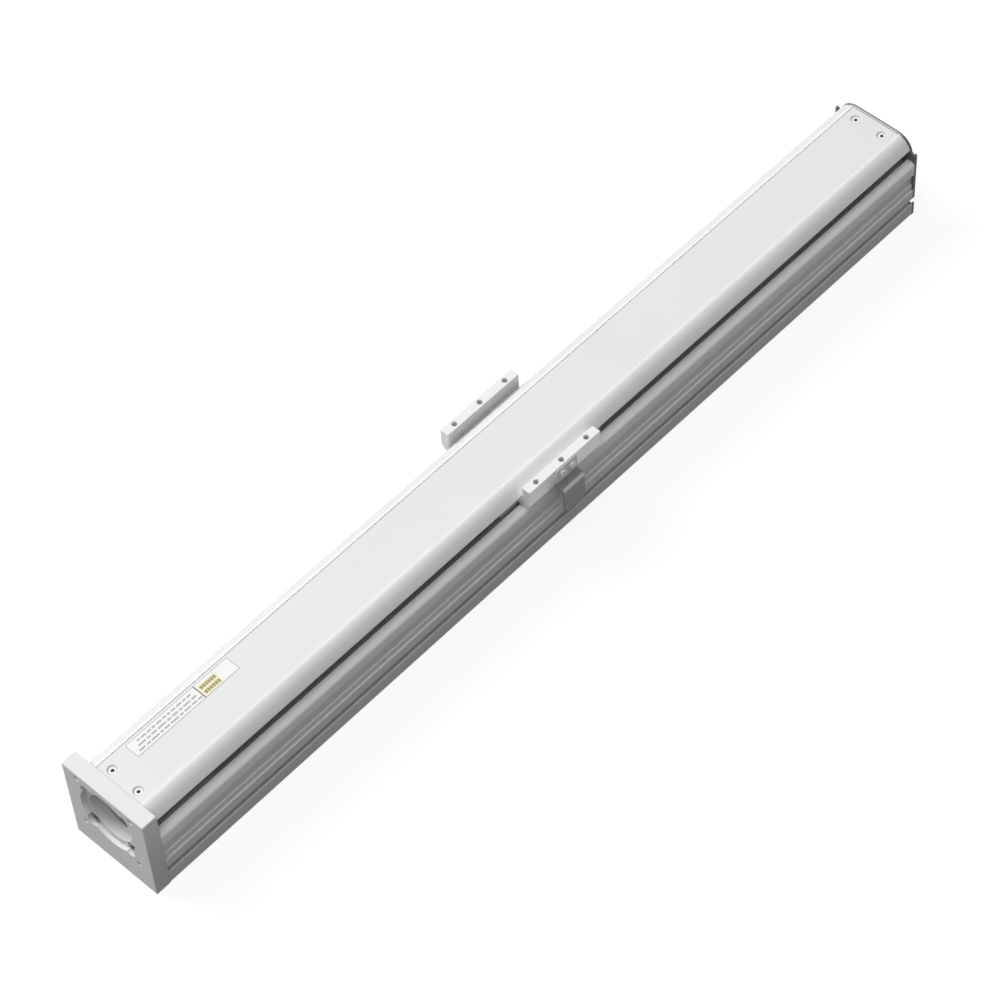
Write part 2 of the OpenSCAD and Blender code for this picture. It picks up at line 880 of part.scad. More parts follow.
// Slotted round nut that clamps the inner rings against the screw's shoulder
module lock_nut() {
    color("dimgray") on_axis() difference() {
        x_tube(x_lock, x_bearing0, seat_d, lock_nut_d);
        for (a = [0 : 90 : 270]) rotate([a, 0, 0]) {
            translate([x_lock - over, -lock_slot_w / 2, lock_nut_d / 2 - lock_slot_d]) {
                cube([lock_nut_l / 2 + over, lock_slot_w, lock_slot_d + over]);
            }
        }
    }
}

module circlip() {
    groove_d = journal_d - 2 * circlip_groove_d;
    gap = 2.5;
    color("dimgray") on_axis() difference() {
        x_tube(x_far_bearing1, x_far_bearing1 + circlip_t, groove_d, groove_d + 2 * circlip_w);
        translate([x_far_bearing1 - over, -gap / 2, 0]) cube([circlip_t + 2 * over, gap, journal_d]);
    }
}

// ---- Ball screw ----------------------------------------------------------------------

// Turned shaft: drive journal, bearing seat, threaded stretch and far journal
module screw_shaft() {
    edge = 0.5;
    color("lightsteelblue") on_axis() rotate([0, 90, 0]) rotate_extrude() polygon([
        [0, x_drive_end],
        [journal_d / 2 - edge, x_drive_end],
        [journal_d / 2, x_drive_end + edge],
        [journal_d / 2, x_lock],
        [seat_d / 2, x_lock],
        [seat_d / 2, x_shoulder],
        [screw_d / 2, x_shoulder],
        [screw_d / 2, x_far_bearing0],
        [journal_d / 2, x_far_bearing0],
        [journal_d / 2, x_far_bearing1],
        [journal_d / 2 - circlip_groove_d, x_far_bearing1],
        [journal_d / 2 - circlip_groove_d, x_far_bearing1 + circlip_t],
        [journal_d / 2, x_far_bearing1 + circlip_t],
        [journal_d / 2, x_far_tail - edge],
        [journal_d / 2 - edge, x_far_tail],
        [0, x_far_tail]
    ]);
}

x_nut = -carriage_l / 2;

module at_nut_screws() {
    for (a = nut_screw_angles) on_axis() rotate([a, 0, 0]) {
        translate([x_nut - nut_flange_t, nut_screw_circle_d / 2, 0]) rotate([0, -90, 0]) children();
    }
}

module ball_nut() {
    wiper_d = screw_d + 2 * nut_gap + 2 * nut_wiper_wall;
    nut_x0 = x_nut - nut_flange_t;
    nut_x1 = x_nut + nut_body_l;
    color("darkgray") difference() {
        union() {
            on_axis() x_rod(x_nut, nut_x1, nut_d);
            intersection() {
                on_axis() x_rod(nut_x0, x_nut, nut_flange_d);
                translate([nut_x0, -nut_flange_d, axis_h - nut_flange_flats / 2]) {
                    cube([nut_flange_t, 2 * nut_flange_d, nut_flange_flats]);
                }
            }
        }
        on_axis() x_rod(nut_x0 - over, nut_x1 + over, screw_d + 2 * nut_gap);
        on_axis() x_rod(nut_x0 - over, nut_x0 + nut_wiper_t, wiper_d);
        on_axis() x_rod(nut_x1 - nut_wiper_t, nut_x1 + over, wiper_d);
        at_nut_screws() translate([0, 0, -nut_flange_t - over]) {
            cylinder(h = nut_flange_t + 2 * over, d = m5_clear_d);
        }
    }
}

module ball_nut_wipers() {
    d_in = screw_d + 2 * nut_gap;
    nut_x0 = x_nut - nut_flange_t;
    nut_x1 = x_nut + nut_body_l;
    color("black") on_axis() for (x = [nut_x0, nut_x1 - nut_wiper_t]) {
        x_tube(x, x + nut_wiper_t, d_in, d_in + 2 * nut_wiper_wall);
    }
}

module ball_nut_screws() {
    color("dimgray") at_nut_screws() {
        cap_screw(m5_d, nut_flange_t + nut_screw_depth, m5_head_d, m5_head_h, m5_hex);
    }
}

// Rubber rings round the screw that stop the carriage at either end
module stop_rubber(x0) {
    on_axis() x_tube(x0, x0 + stop_l, screw_d + 2 * screw_gap, stop_d);
}

module stop_rubber_motor_side() {
    color("black") stop_rubber(x_fixed_in);
}

module stop_rubber_far_side() {
    color("black") stop_rubber(x_far_in - stop_l);
}

// ---- Linear guide --------------------------------------------------------------------

module rail_profile() {
    difference() {
        polygon([
            [-rail_w / 2, 0],
            [rail_w / 2, 0],
            [rail_w / 2, rail_h - rail_chamfer],
            [rail_w / 2 - rail_chamfer, rail_h],
            [rail_chamfer - rail_w / 2, rail_h],
            [-rail_w / 2, rail_h - rail_chamfer]
        ]);
        both_sides_2d() for (z = ball_row_z) {
            translate([ball_row_y, z]) circle(d = guide_ball_d + 2 * groove_gap);
        }
    }
}

module guide_rail() {
    color("darkgray") difference() {
        translate([0, 0, floor_t]) along_x(x_rail0, x_rail1) rail_profile();
        at_rail_screws() translate([0, 0, floor_t]) {
            translate([0, 0, -over]) cylinder(h = rail_h + 2 * over, d = m4_clear_d);
            translate([0, 0, rail_h - rail_cbore_depth]) {
                cylinder(h = rail_cbore_depth + over, d = rail_cbore_d);
            }
        }
    }
}

module guide_rail_screws() {
    seat_h = rail_h - rail_cbore_depth;
    color("dimgray") at_rail_screws() translate([0, 0, floor_t + seat_h]) {
        cap_screw(m4_d, seat_h + rail_screw_depth, m4_head_d, m4_head_h, m4_hex);
    }
}

// Channel that rides over the rail, as an outline above the floor
module block_channel() {
    half = rail_w / 2 + rail_side_gap;
    translate([-half, 0]) square([2 * half, rail_h + rail_gap]);
}

module at_block_screws() {
    for (x = [-block_screw_x, block_screw_x]) both_sides() {
        translate([x, block_screw_y, carriage_z0]) children();
    }
}

module guide_block_profile() {
    difference() {
        union() {
            translate([-block_w / 2, block_foot_gap]) square([block_w, block_h - block_foot_gap]);
            translate([-block_flange_w / 2, block_h - block_flange_t]) {
                square([block_flange_w, block_flange_t]);
            }
        }
        block_channel();
        both_sides_2d() for (z = ball_row_z) {
            translate([ball_row_y, z]) circle(d = guide_ball_d + 2 * ball_pocket_gap);
            translate([return_y, z]) circle(d = return_d);
        }
    }
}

module guide_block() {
    color("darkgray") difference() {
        translate([0, 0, floor_t]) along_x(-block_l / 2, block_l / 2) guide_block_profile();
        at_block_screws() translate([0, 0, -block_screw_depth]) {
            cylinder(h = block_screw_depth + over, d = m4_d);
        }
    }
}

module guide_block_balls() {
    pitch = block_l / (guide_balls_per_row + 1);
    color("white") row_x(guide_balls_per_row, pitch) both_sides() for (z = ball_row_z) {
        translate([0, ball_row_y, floor_t + z]) sphere(d = guide_ball_d);
    }
}

module end_cap_profile() {
    inset = 0.4;
    difference() {
        translate([-block_w / 2 + inset, block_foot_gap + inset]) {
            square([block_w - 2 * inset, block_h - block_foot_gap - 2 * inset]);
        }
        block_channel();
    }
}

// Draws a child at both ends of the guide block, facing outwards from x = 0
module at_block_ends() {
    children();
    mirror([1, 0, 0]) children();
}

module guide_block_end_caps() {
    cap_x0 = block_l / 2;
    cap_x1 = cap_x0 + end_cap_l;
    color("darkslategray") difference() {
        at_block_ends() translate([0, 0, floor_t]) along_x(cap_x0, cap_x1) end_cap_profile();
        translate([0, 0, floor_t + nipple_z]) x_rod(cap_x1 - nipple_base_l, cap_x1 + over, nipple_d);
    }
}

module guide_block_wipers() {
    wiper_x0 = block_l / 2 + end_cap_l;
    color("black") difference() {
        at_block_ends() translate([0, 0, floor_t]) along_x(wiper_x0, wiper_x0 + wiper_t) end_cap_profile();
        translate([0, 0, floor_t + nipple_z]) x_rod(wiper_x0 - over, wiper_x0 + wiper_t + over, nipple_d);
    }
}

module guide_block_screws() {
    seat = block_screw_seat;
    color("dimgray") at_block_screws() translate([0, 0, seat]) {
        cap_screw(m4_d, seat + block_screw_depth, m4_head_d, m4_head_h, m4_hex);
    }
}

module grease_nipple() {
    x0 = block_l / 2 + end_cap_l - nipple_base_l;
    color("goldenrod") translate([0, 0, floor_t + nipple_z]) {
        x_rod(x0, x0 + nipple_base_l + wiper_t, nipple_d);
        x_rod(x0 + nipple_base_l + wiper_t, x0 + nipple_base_l + wiper_t + nipple_l, nipple_tip_d);
    }
}

// ---- Carriage ------------------------------------------------------------------------

// One arm with its ear: out through the slit, round the lower edge and up beside the cover
module arm_profile() {
    difference() {
        union() {
            translate([carriage_y - over, arm_z0]) square([ear_y1 - carriage_y + over, arm_z1 - arm_z0]);
            translate([ear_y0, arm_z0]) square([ear_t, ear_z1 - arm_z0]);
        }
        difference() {
            translate([ear_y1 - ear_r, arm_z0 - over]) square([ear_r + over, ear_r + over]);
            translate([ear_y1 - ear_r, arm_z0 + ear_r]) circle(ear_r);
        }
    }
    difference() {
        translate([ear_y0 - ear_fillet, arm_z1 - over]) square([ear_fillet + over, ear_fillet + over]);
        translate([ear_y0 - ear_fillet, arm_z1 + ear_fillet]) circle(ear_fillet);
    }
}

module carriage_profile() {
    top_chamfer = 1.5;
    notch_z0 = ledge_z - ledge_t - ledge_gap;
    notch_z1 = ledge_z + ledge_gap;
    difference() {
        polygon([
            [-carriage_y, carriage_z0],
            [carriage_y, carriage_z0],
            [carriage_y, carriage_z1 - top_chamfer],
            [carriage_y - top_chamfer, carriage_z1],
            [top_chamfer - carriage_y, carriage_z1],
            [-carriage_y, carriage_z1 - top_chamfer]
        ]);
        both_sides_2d() translate([ledge_y - ledge_gap, notch_z0]) square([wall_t, notch_z1 - notch_z0]);
    }
}

module ear_holes() {
    row_x(3, ear_hole_pitch) both_sides() translate([0, ear_hole_y, ear_z1 - ear_hole_depth]) {
        cylinder(h = ear_hole_depth + over, d = ear_hole_d);
    }
    row_x(2, flag_hole_pitch) both_sides() translate([0, ear_y1 - flag_hole_depth, flag_hole_z]) {
        rotate([-90, 0, 0]) cylinder(h = flag_hole_depth + over, d = m3_d);
    }
}

module carriage_body() {
    color("gainsboro") difference() {
        union() {
            along_x(-carriage_l / 2, carriage_l / 2) carriage_profile();
            along_x(-ear_l / 2, ear_l / 2) both_sides_2d() arm_profile();
        }
        on_axis() x_rod(x_nut - over, x_nut + nut_body_l, nut_d);
        on_axis() x_rod(x_nut, carriage_l / 2 + over, carriage_bore_d);
        at_nut_screws() translate([0, 0, -nut_flange_t - nut_screw_depth]) {
            cylinder(h = nut_screw_depth + over, d = m5_d);
        }
        at_block_screws() {
            translate([0, 0, -over]) cylinder(h = block_screw_seat + 2 * over, d = m4_clear_d);
            translate([0, 0, block_screw_seat]) cylinder(h = carriage_z1 - carriage_z0, d = m4_cbore_d);
        }
        ear_holes();
    }
}

// ---- Sensor flag ---------------------------------------------------------------------

// Section of the bent sheet: down the ear, out over the step and down again
module flag_section() {
    face = ear_y1 + flag_t;
    step_z = lip_h + flag_step_h;
    blade = ear_y1 + flag_reach;
    top_z = ear_z1 - flag_top_drop;
    bend_y = face + flag_bend_r;
    bend_z = step_z + flag_bend_r;
    translate([ear_y1, bend_z]) square([flag_t, top_z - bend_z]);
    intersection() {
        translate([ear_y1, step_z - flag_t]) square([bend_y - ear_y1, bend_z - step_z + flag_t]);
        difference() {
            translate([bend_y, bend_z]) circle(flag_bend_r + flag_t);
            translate([bend_y, bend_z]) circle(flag_bend_r);
        }
    }
    translate([bend_y, step_z - flag_t]) square([blade - flag_out_r - bend_y, flag_t]);
    intersection() {
        translate([blade - flag_out_r, step_z - flag_out_r]) square([flag_out_r, flag_out_r]);
        difference() {
            translate([blade - flag_out_r, step_z - flag_out_r]) circle(flag_out_r);
            translate([blade - flag_out_r, step_z - flag_out_r]) circle(flag_out_r - flag_t);
        }
    }
    translate([blade - flag_t, step_z - flag_blade_l]) square([flag_t, flag_blade_l - flag_out_r]);
}

// Front outline of the flag, with rounded corners
module flag_front() {
    r = flag_corner_r;
    z0 = lip_h + flag_step_h - flag_blade_l;
    z1 = ear_z1 - flag_top_drop;
    translate([-flag_w / 2, z0 + r]) square([flag_w, z1 - z0 - 2 * r]);
    translate([-flag_w / 2 + r, z0]) square([flag_w - 2 * r, z1 - z0]);
    for (x = [-flag_w / 2 + r, flag_w / 2 - r]) for (z = [z0 + r, z1 - r]) translate([x, z]) circle(r);
}

module at_flag_screws() {
    row_x(2, flag_hole_pitch) translate([0, -ear_y1 - flag_t, flag_hole_z]) rotate([90, 0, 0]) children();
}

module sensor_flag() {
    depth = ear_y1 + flag_reach + over;
    color("gray") difference() {
        intersection() {
            mirror([0, 1, 0]) along_x(-flag_w / 2, flag_w / 2) flag_section();
            rotate([90, 0, 0]) linear_extrude(depth) flag_front();
        }
        at_flag_screws() translate([0, 0, -flag_t - over]) cylinder(h = flag_t + 2 * over, d = m3_clear_d);
    }
}

module sensor_flag_screws() {
    color("silver") at_flag_screws() {
        cap_screw(m3_d, flag_t + flag_screw_depth, flag_head_d, flag_head_h, m3_hex);
    }
}

// ---- Assembly ------------------------------------------------------------------------

base_extrusion();
top_cover();
cover_screws();
motor_flange();
flange_screws();
end_plate();
end_plate_screws();
fixed_housing();
far_housing();
housing_screws();
bearing_outer_rings();
bearing_inner_rings();
bearing_balls();
bearing_cages();
bearing_retainer();
retainer_screws();
bearing_collar();
lock_nut();
far_bearing_outer_ring();
far_bearing_inner_ring();
far_bearing_balls();
far_bearing_cage();
circlip();
screw_shaft();
guide_rail();
guide_rail_screws();
stop_rubber_motor_side();
stop_rubber_far_side();
guide_block();
guide_block_balls();
guide_block_end_caps();
guide_block_wipers();
guide_block_screws();
grease_nipple();
ball_nut();
ball_nut_wipers();
ball_nut_screws();
carriage_body();
sensor_flag();
sensor_flag_screws();
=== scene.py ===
import math

import bpy
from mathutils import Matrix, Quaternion, Vector


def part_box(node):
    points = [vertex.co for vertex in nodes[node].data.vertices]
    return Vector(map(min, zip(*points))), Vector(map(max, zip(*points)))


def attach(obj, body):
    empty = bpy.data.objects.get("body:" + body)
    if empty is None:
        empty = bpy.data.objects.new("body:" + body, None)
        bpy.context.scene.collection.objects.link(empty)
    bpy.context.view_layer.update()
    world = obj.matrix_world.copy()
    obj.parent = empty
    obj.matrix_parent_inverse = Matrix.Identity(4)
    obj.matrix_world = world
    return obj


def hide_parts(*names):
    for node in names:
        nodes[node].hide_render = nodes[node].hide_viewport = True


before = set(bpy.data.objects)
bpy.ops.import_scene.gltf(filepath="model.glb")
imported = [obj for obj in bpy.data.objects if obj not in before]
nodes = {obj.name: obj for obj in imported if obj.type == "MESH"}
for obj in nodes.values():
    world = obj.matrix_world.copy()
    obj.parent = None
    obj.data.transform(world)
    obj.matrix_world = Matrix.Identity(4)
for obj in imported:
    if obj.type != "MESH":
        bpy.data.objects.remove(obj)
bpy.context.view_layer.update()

MM = 0.001
WHITE = (1, 1, 1, 1)

# The camera: its place, what it looks at, its roll, its lens and its sensor's width
CAMERA_PLACE = Vector((-1.0655, -1.0871, 2.0127))
CAMERA_TARGET = Vector((-0.0326, -0.0095, 0.0400))
CAMERA_ROLL = math.radians(-4.18)
CAMERA_LENS = 131.4
CAMERA_SENSOR = 36.0

# The light: the world's level, then each lamp's level, the side that it shines from and its width
WORLD_LEVEL = 0.26
LAMP_DISTANCE = 6.0
LAMPS = {
    "overhead": (0.335, Vector((-0.26, -0.18, 0.95)), 4.2),
    "key": (0.72, Vector((-0.25, 0.66, 0.71)), 3.2),
}

# The floor: what it throws back, and how the eye sees it. It lies just above the underside, so
# that the underside shows from below.
FLOOR_SIZE = 14.0
FLOOR_Z = 0.05 * MM
FLOOR_BOUNCE = (0.06, 0.06, 0.06, 1)
FLOOR_SEEN = (0.20, 0.20, 0.20, 1)
FLOOR_GLOW = 0.84

# The ball screw
SCREW_R = 8.0 * MM
SCREW_LEAD = 10.0 * MM
SCREW_STEP = 0.625 * MM
SCREW_SIDES = 32
BALL_CIRCLE_R = 8.25 * MM
BALL_GROOVE_R = 1.65 * MM
JOURNAL_R = 5.0 * MM
SEAT_R = 6.0 * MM
SHAFT_EDGE = 0.5 * MM
THREAD_RUNOUT = 2.0 * MM
SHOULDER_NORMAL = 0.9  # a face whose normal leans more than this along the screw is a shoulder

# The tapped holes
MOTOR_PITCH = 49.5 * MM
EAR_PITCH = 25.0 * MM
EAR_HOLE_Y = 37.5 * MM
TAPPED_R = 2.1 * MM
THREAD_PITCH = 0.8 * MM
MOTOR_THREAD_DEPTH = 11.2 * MM
EAR_THREAD_DEPTH = 9.2 * MM

# The ridge of their threads: its sizes in pitches, and how many steps it takes to rise and to end
RIDGE_SIDES = 24
RIDGE_START = 0.55
RIDGE_HALF_WIDTH = 0.42
RIDGE_HEIGHT = 0.32
RIDGE_FADE_STEPS = 6

# The sticker's film, and how far its prints stand over it
CHANNEL_Z = 74.0 * MM
LABEL_LOW = Vector((-351.5, 6.4)) * MM
LABEL_HIGH = Vector((-260.5, 19.1)) * MM
LABEL_THICKNESS = 0.12 * MM
LABEL_CORNER_R = 0.6 * MM
CORNER_STEPS = 6
BORDER_WIDTH = 0.45 * MM
INK_RISE = 0.015 * MM
DIVIDER_RISE = 0.005 * MM
BLOCK_BAR_RISE = 0.01 * MM

# Its prints, in millimetres: rows of dashes as height, start and lengths, a divider as two places
# along X, and a block as its two ends along X and along Y, with rows of short bars
LABEL_ROWS = (
    (9.2, -347.6, (5.2, 3.4, 6.8, 2.6, 4.4, 7.0, 3.0, 5.6, 4.2, 3.6)),
    (12.5, -345.4, (6.4, 2.8, 4.6, 7.2, 3.4, 5.0, 2.6, 6.2, 4.4)),
    (15.9, -343.6, (2.4, 4.2, 3.2, 2.8, 4.6, 3.0, 2.2, 3.8, 4.4, 2.6, 3.4)),
)
DASH_HALF_WIDTH = 0.75
DASH_GAP = 1.1
DIVIDER = (-291.3, -290.5)
BLOCK = (-289.8, -274.2, 7.2, 17.1)
BLOCK_BAR_ROWS = (8.4, 13.0)
BLOCK_BAR_PLACES = (-288.6, -286.3, -284.0, -281.7, -279.4, -277.1)
BLOCK_BAR_LENGTH = 1.9
BLOCK_BAR_WIDTH = 2.8

# Tones that paint light and shade on the finishes: each is an axis, |Y| for the distance from
# the middle, then places along it in metres and their tones. They paint part of the shading:
# they were fitted to the photograph's brightness, mostly on the -Y side, which it shows.
CURVE_TOP = 2.0
# A painted highlight: a bright line where the cover's flat top turns into its shoulders
COVER_RIM_HIGHLIGHT = ("|Y|", ((0.0205, 1.0), (0.0209, 1.16), (0.0222, 1.16), (0.0236, 1.0)))
# Painted light: the cover's -Y shoulder made lighter towards its lower edge
COVER_SIDE_PAINTED_LIGHT = ("Y", ((-0.0326, 1.28), (-0.0313, 1.24), (-0.0285, 1.05), (-0.0258, 1.0)))
# Painted shade in the cover screws' countersinks, below the channel floor near the middle
COUNTERSINK_SHADE = ("Z", ((0.0735, 0.72), (0.0739, 1.0)))
BESIDE_COUNTERSINKS = ("|Y|", ((0.0165, 0.0), (0.0170, 1.0)))
# Painted shade: the base made darker towards the floor
BASE_LOWER_SHADE = ("Z", (
    (0.0, 0.72), (0.012, 0.80), (0.024, 0.91), (0.032, 0.97), (0.040, 0.97), (0.042, 1.0),
))
# A painted highlight along the base's lip rounding; LIP_SIDE keeps it to the -Y side
BASE_LIP_HIGHLIGHT = ("Z", (
    (0.042, 1.0), (0.044, 1.08), (0.048, 1.19), (0.0505, 1.24), (0.0535, 1.31), (0.0548, 1.12),
))
LIP_SIDE = ("Y", ((-0.0300, 2.0), (-0.0295, 1.0)))
# Painted light: the inside of the T-slot made lighter, within SLOT_INSIDE
SLOT_PAINTED_LIGHT = ("Z", ((0.0090, 1.0), (0.0092, 1.18), (0.0198, 1.18), (0.0200, 1.0)))
SLOT_INSIDE = ("|Y|", ((0.0363, 2.0), (0.0366, 1.0)))
# Painted shade on the base inside the slit under the cover, above where UNDER_SLIT ends
SLIT_SHADE = ("|Y|", ((0.0298, 0.45), (0.0301, 1.0)))
UNDER_SLIT = ("Z", ((0.045, 1.0), (0.047, 0.0)))
# Painted light: the carriage ears' -Y face made lighter
EAR_SIDE_PAINTED_LIGHT = ("Y", ((-0.0409, 1.15), (-0.0406, 1.0)))
# Painted shade: the flange's sides darker towards the floor; FLANGE_INNER leaves its middle alone
FLANGE_SIDE_SHADE = ("Z", ((0.0, 0.68), (0.020, 0.73), (0.045, 0.81), (0.072, 1.0)))
FLANGE_INNER = ("|Y|", ((0.0371, 1.0), (0.0374, 0.0)))
# Painted light and shade on the sensor flag: a highlight on its outer bend, shade on its flat step
# beside the ear, and its upper plate lighter than the blade
FLAG_LIGHT_AND_SHADE = ("Z", (
    (0.0585, 0.72), (0.0593, 1.62), (0.0609, 1.62), (0.0618, 1.30), (0.0626, 0.43),
    (0.0632, 0.47), (0.0645, 1.72), (0.0752, 1.82), (0.0765, 1.0),
))
# The end plate's own dark colour below, with a painted highlight on its top edge; PLATE_OUTER_RIM
# and PLATE_FACE keep that highlight off the top's outer rim
PLATE_TOP_HIGHLIGHT = ("Z", ((0.0735, 0.235), (0.0752, 1.0)))
PLATE_OUTER_RIM = ("X", ((0.3779, 1.0), (0.3783, 0.26)))
PLATE_FACE = ("Z", ((0.0735, 1.0), (0.0750, 0.0)))
# Painted shade at the bottom of the cover screws' hex sockets
SCREW_SOCKET_SHADE = ("Z", ((0.0722, 0.12), (0.0729, 1.0)))

# What the metal finishes share
MATT_SPECULAR = 0.2
# How far the painted shade in crevices reaches
CREVICE_SHADE_REACH = 1.0 * MM
GRAIN_DEPTH = 0.010 * MM
GRAIN_STRENGTH = 0.5


# ---- Node helpers --------------------------------------------------------------------

class Shader:
    """A material under construction: its node tree, its shader and calls to add nodes."""

    def __init__(self, name):
        self.material = bpy.data.materials.new(name)
        self.material.use_nodes = True
        self.tree = self.material.node_tree
        self.principled = self.tree.nodes["Principled BSDF"]
        self.place = self.add("ShaderNodeTexCoord").outputs["Object"]

    def add(self, kind, inputs=None, **settings):
        node = self.tree.nodes.new(kind)
        for key, value in settings.items():
            setattr(node, key, value)
        for key, value in (inputs or {}).items():
            self.feed(node.inputs[key], value)
        return node

    def feed(self, socket, value):
        if isinstance(value, bpy.types.NodeSocket):
            self.tree.links.new(value, socket)
        else:
            socket.default_value = value

    def noise(self, scale, stretch=(1, 1, 1), detail=3.0):
        """Noise whose features are 1 / scale metres across, drawn out by the stretch."""
        mapping = self.add(
            "ShaderNodeMapping", {"Vector": self.place, "Scale": [1 / s for s in stretch]},
        )
        noise = self.add(
            "ShaderNodeTexNoise",
            {"Vector": mapping.outputs[0], "Scale": scale, "Detail": detail, "Roughness": 0.5},
        )
        return noise.outputs["Fac"]

    def spread(self, value, low, high, from_low=0.3, from_high=0.7):
        """Maps a span, by default a noise's usual one, onto low to high."""
        node = self.add(
            "ShaderNodeMapRange",
            {
                "Value": value, "From Min": from_low, "From Max": from_high,
                "To Min": low, "To Max": high,
            },
        )
        return node.outputs[0]

    def tint(self, color, value):
        """The colour, made lighter or darker by a value about 1."""
        mix = self.add("ShaderNodeVectorMath", {0: color, 3: value}, operation="SCALE")
        return mix.outputs[0]

    def bump(self, height, depth, strength, normal=None):
        node = self.add(
            "ShaderNodeBump", {"Height": height, "Distance": depth, "Strength": strength},
        )
        if normal is not None:
            self.feed(node.inputs["Normal"], normal)
        return node.outputs[0]

    def rounded_edges(self, radius):
        return self.add("ShaderNodeBevel", {"Radius": radius}, samples=4).outputs[0]

    def edge_light(self, rounded, light):
        """Painted highlight: 1 on the flats, and up to the light along the edges, where the rounded
        normal turns.
        """
        facet = self.add("ShaderNodeNewGeometry").outputs["Normal"]
        turn = self.add(
            "ShaderNodeVectorMath", {0: rounded, 1: facet}, operation="DOT_PRODUCT",
        ).outputs["Value"]
        return self.spread(turn, low=light, high=1.0, from_low=0.8, from_high=1.0)

    def crevice_shade(self, reach, dark):
        """Painted shade: 1 in the open, and down to dark in sockets, seams and corners narrower
        than the reach.
        """
        open_air = self.add(
            "ShaderNodeAmbientOcclusion", {"Distance": reach}, samples=6,
        ).outputs["AO"]
        return self.spread(open_air, low=dark, high=1.0, from_low=0.25, from_high=0.85)

    def profile(self, axis, stops):
        """A value that goes from stop to stop along an axis; bars round it mean distance from 0."""
        split = self.add("ShaderNodeSeparateXYZ", {"Vector": self.place})
        place = split.outputs[axis.strip("|")]
        if axis.startswith("|"):
            place = self.add("ShaderNodeMath", {0: place}, operation="ABSOLUTE").outputs[0]
        low, high = stops[0][0], stops[-1][0]
        share = self.spread(place, low=0.0, high=1.0, from_low=low, from_high=high)
        curve = self.add("ShaderNodeFloatCurve", {"Value": share})
        points = curve.mapping.curves[0].points
        while len(points) < len(stops):
            points.new(0.5, 0.5)
        for point, (at, value) in zip(points, stops):
            point.location = ((at - low) / (high - low), value / CURVE_TOP)
            point.handle_type = "VECTOR"
        curve.mapping.update()
        return self.product(curve.outputs[0], CURVE_TOP)

    def combine(self, operation, *values):
        result = values[0]
        for value in values[1:]:
            node = self.add("ShaderNodeMath", {0: result, 1: value}, operation=operation)
            result = node.outputs[0]
        return result

    def product(self, *factors):
        return self.combine("MULTIPLY", *factors)

    def toned(self, shade, tones):
        """The shade times each tone: several profiles' product, or their highest or lowest."""
        for choice, *profiles in tones:
            tone = self.combine(choice, *[self.profile(*profile) for profile in profiles])
            shade = self.product(shade, tone)
        return shade

    def finish(self, **sockets):
        for name, value in sockets.items():
            self.feed(self.principled.inputs[name.replace("_", " ")], value)
        return self.material


# ---- Materials -----------------------------------------------------------------------

def anodised(name, color, roughness, edge=0.35 * MM, light=1.18, crevice_shade=0.7, tones=()):
    """Anodised aluminium: fine matt grain, faint lines along the extrusion, soft edges with painted
    highlights, painted shade in crevices.
    """
    s = Shader(name)
    lines = s.noise(2200, stretch=(30, 1, 1), detail=2)
    cloud = s.noise(14, detail=2)
    grain = s.noise(5200, detail=2)
    rounded = s.rounded_edges(edge)
    shade = s.product(
        s.spread(lines, low=0.995, high=1.005),
        s.spread(cloud, low=0.985, high=1.015),
        s.edge_light(rounded, light),
        s.crevice_shade(CREVICE_SHADE_REACH, crevice_shade),
    )
    normal = s.bump(lines, depth=0.003 * MM, strength=0.2, normal=rounded)
    normal = s.bump(grain, depth=GRAIN_DEPTH, strength=GRAIN_STRENGTH, normal=normal)
    return s.finish(
        Base_Color=s.tint(color, s.toned(shade, tones)),
        Roughness=s.spread(grain, low=roughness - 0.04, high=roughness + 0.06),
        Specular_IOR_Level=MATT_SPECULAR,
        Normal=normal,
    )


def machined(name, color, roughness, metallic=0.5, tones=()):
    """Milled aluminium: fine arcs of the cutter over the faces, edges with painted highlights,
    painted shade in crevices.
    """
    s = Shader(name)
    rings = s.add(
        "ShaderNodeTexWave",
        {"Vector": s.place, "Scale": 320.0, "Distortion": 3.0, "Detail": 2.0, "Detail Scale": 1.5},
        wave_type="RINGS", rings_direction="X",
    ).outputs["Fac"]
    grain = s.noise(4200, detail=3)
    rounded = s.rounded_edges(0.35 * MM)
    shade = s.product(
        s.spread(rings, low=0.996, high=1.004, from_low=0, from_high=1),
        s.edge_light(rounded, light=1.15),
        s.crevice_shade(CREVICE_SHADE_REACH, dark=0.7),
    )
    normal = s.bump(rings, depth=0.001 * MM, strength=0.1, normal=rounded)
    normal = s.bump(grain, depth=GRAIN_DEPTH, strength=GRAIN_STRENGTH, normal=normal)
    return s.finish(
        Base_Color=s.tint(color, s.toned(shade, tones)),
        Metallic=metallic,
        Roughness=s.spread(grain, low=roughness - 0.05, high=roughness + 0.06),
        Specular_IOR_Level=MATT_SPECULAR,
        Normal=normal,
    )


def steel(name, color, roughness, along=12.0, metallic=0.9, tones=()):
    """Ground or plated steel with fine lines and painted shade in crevices."""
    s = Shader(name)
    lines = s.noise(6000, stretch=(along, 1, 1), detail=3)
    cloud = s.noise(60, detail=3)
    rounded = s.rounded_edges(0.2 * MM)
    shade = s.product(s.spread(cloud, low=0.94, high=1.06), s.crevice_shade(CREVICE_SHADE_REACH, dark=0.35))
    return s.finish(
        Base_Color=s.tint(color, s.toned(shade, tones)),
        Metallic=metallic,
        Roughness=s.spread(lines, low=roughness - 0.06, high=roughness + 0.08),
        Normal=s.bump(lines, depth=0.006 * MM, strength=0.4, normal=rounded),
    )


